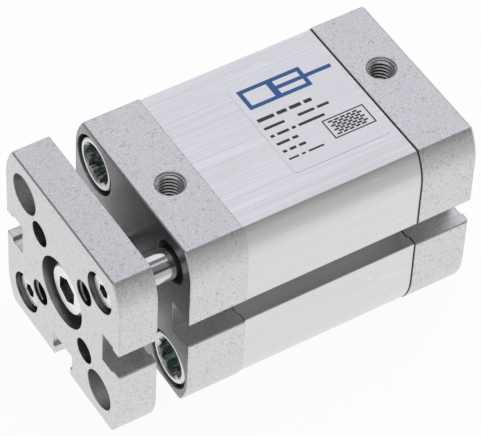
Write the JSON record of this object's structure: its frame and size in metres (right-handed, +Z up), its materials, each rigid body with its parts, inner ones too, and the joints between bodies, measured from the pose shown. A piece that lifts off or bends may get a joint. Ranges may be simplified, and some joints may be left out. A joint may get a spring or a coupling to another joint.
{
  "type": "guided pneumatic cylinder",
  "caption": "Compact square pneumatic cylinder with sensor slots, threaded ports and a yoke plate on a piston rod and two diagonal guide rods.",
  "frame": {"origin": "on the piston rod's axis, at the centre of the rear mounting face (the mouth of the centring recess)", "axes": "+X along the rod towards the yoke plate, the way it extends; +Z up through the two air ports; +Y towards the side with the upper guide rod"},
  "size_m": [0.073, 0.0396, 0.0396],
  "materials": {
    "cast_cap": "fine blasted die casting",
    "anodised_barrel": "clear anodised extrusion with fine drawn lines",
    "hard_chrome": "ground and polished",
    "zinc_steel": "bright zinc plated",
    "bush_bronze": "sintered",
    "black_rubber": "matt moulded",
    "cushion_polyurethane": "moulded elastomer",
    "piston_aluminium": "turned",
    "bonded_magnet": "plastic bonded magnet",
    "wear_ring_plastic": "moulded plain bearing plastic"
  },
  "bodies": {
    "housing": {"end_cap": "cast_cap", "barrel": "anodised_barrel", "bearing_cap": "cast_cap", "collar_screw_front_upper": "zinc_steel", "collar_screw_front_lower": "zinc_steel", "collar_screw_rear_near_upper": "zinc_steel", "collar_screw_rear_near_lower": "zinc_steel", "collar_screw_rear_far_upper": "zinc_steel", "collar_screw_rear_far_lower": "zinc_steel", "rod_bush": "bush_bronze", "rod_seal": "black_rubber", "buffer_front": "cushion_polyurethane", "buffer_rear": "cushion_polyurethane", "cap_seal_front": "black_rubber", "cap_seal_rear": "black_rubber", "guide_bush_upper": "bush_bronze", "guide_wiper_upper": "black_rubber", "guide_bush_lower": "bush_bronze", "guide_wiper_lower": "black_rubber"},
    "carriage": {"yoke_plate": "cast_cap", "piston_rod": "hard_chrome", "yoke_screw": "zinc_steel", "guide_rod_upper": "hard_chrome", "guide_screw_upper": "zinc_steel", "guide_rod_lower": "hard_chrome", "guide_screw_lower": "zinc_steel", "piston_rear_half": "piston_aluminium", "piston_front_half": "piston_aluminium", "piston_magnet": "bonded_magnet", "wear_ring": "wear_ring_plastic", "piston_seal_rear": "black_rubber", "piston_seal_front": "black_rubber", "piston_nut": "zinc_steel"}
  },
  "joints": [
    {"name": "rod_slide", "type": "slide", "parent": "housing", "child": "carriage", "axis": [1, 0, 0], "range_m": [0, 0.02]}
  ]
}
